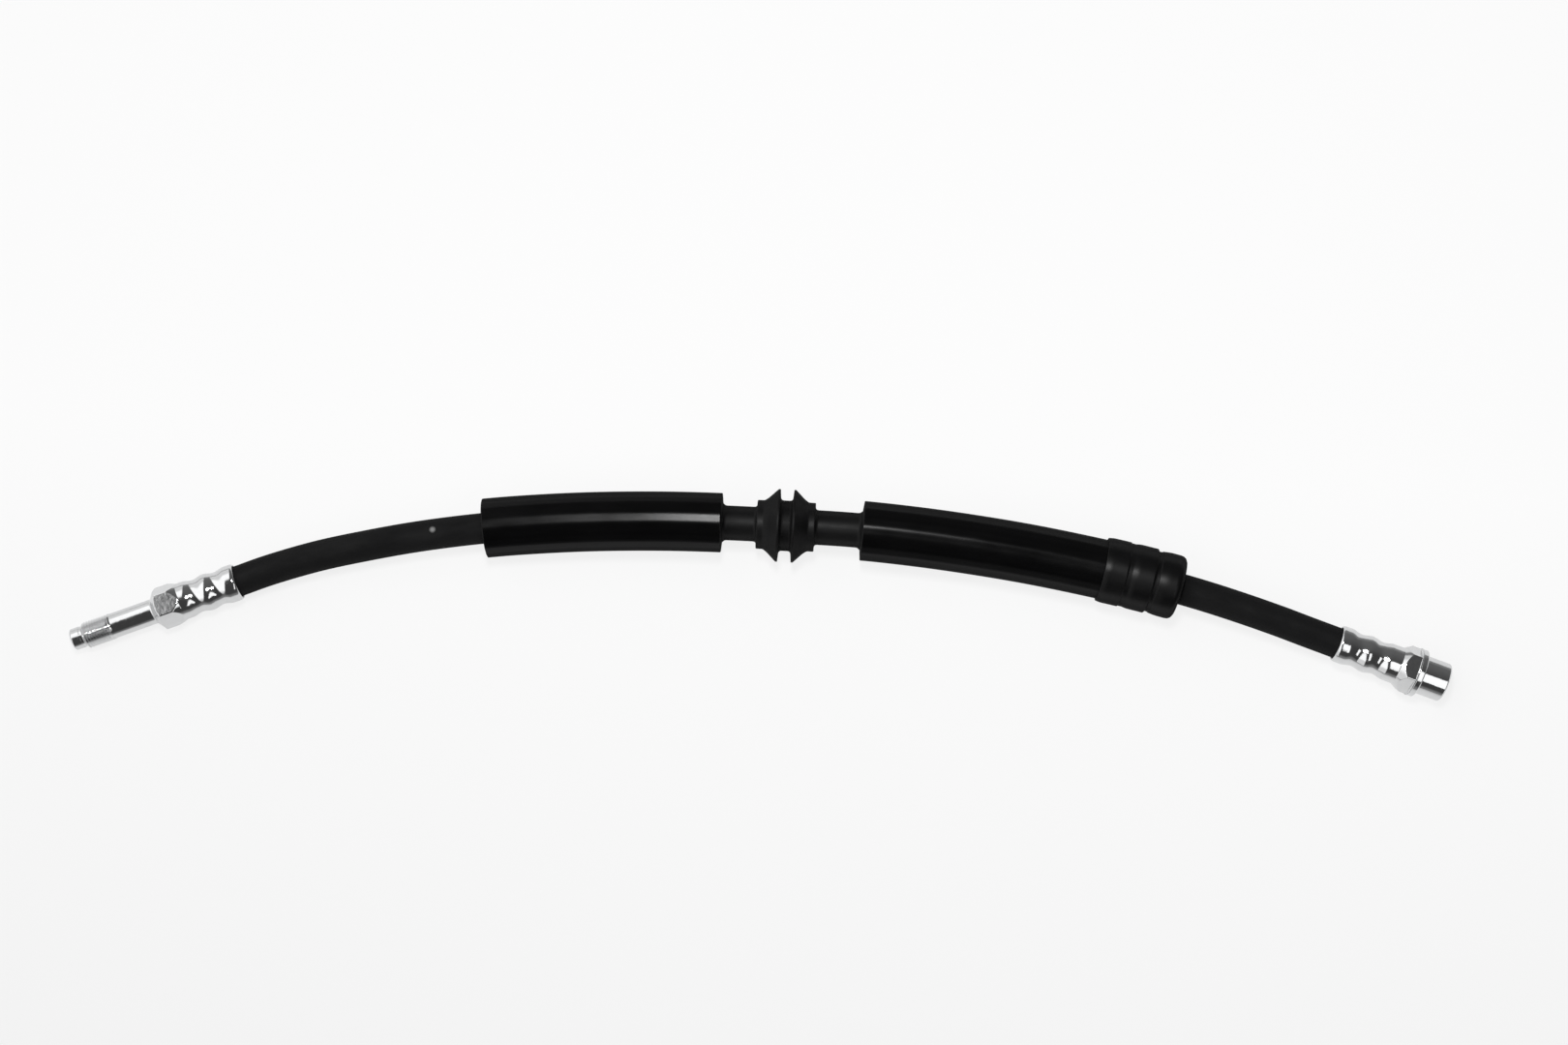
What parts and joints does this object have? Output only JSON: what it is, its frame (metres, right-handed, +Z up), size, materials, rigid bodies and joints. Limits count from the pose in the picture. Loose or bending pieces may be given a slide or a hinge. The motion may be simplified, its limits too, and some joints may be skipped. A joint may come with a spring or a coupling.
{
  "type": "brake hose",
  "caption": "Rubber brake hose with crimped male and female steel fittings, ribbed protective sleeves, a bracket grommet and a ringed sleeve cap.",
  "frame": {"origin": "on the surface that the hose lies on, below the centre of its bounding box", "axes": "+X runs along the hose from the male fitting to the female one, +Z is up; the grommet's axis lies along X and the hose bends towards -Y at both ends"},
  "size_m": [0.5064, 0.0728, 0.0268],
  "materials": {
    "plated_steel": "bright zinc plating, smooth with fine turning marks",
    "insert_steel": "satin",
    "hose_rubber": "matte, faint lengthwise extrusion marks",
    "sleeve_rubber": "semi-gloss, with shallow lengthwise ribs",
    "moulded_rubber": "satin moulded rubber"
  },
  "bodies": {
    "root": {"male_fitting": "plated_steel", "male_insert": "insert_steel", "female_fitting": "plated_steel", "female_insert": "insert_steel", "hose": "hose_rubber", "left_sleeve": "sleeve_rubber", "right_sleeve": "sleeve_rubber", "grommet": "moulded_rubber", "sleeve_cap": "moulded_rubber"}
  },
  "joints": []
}
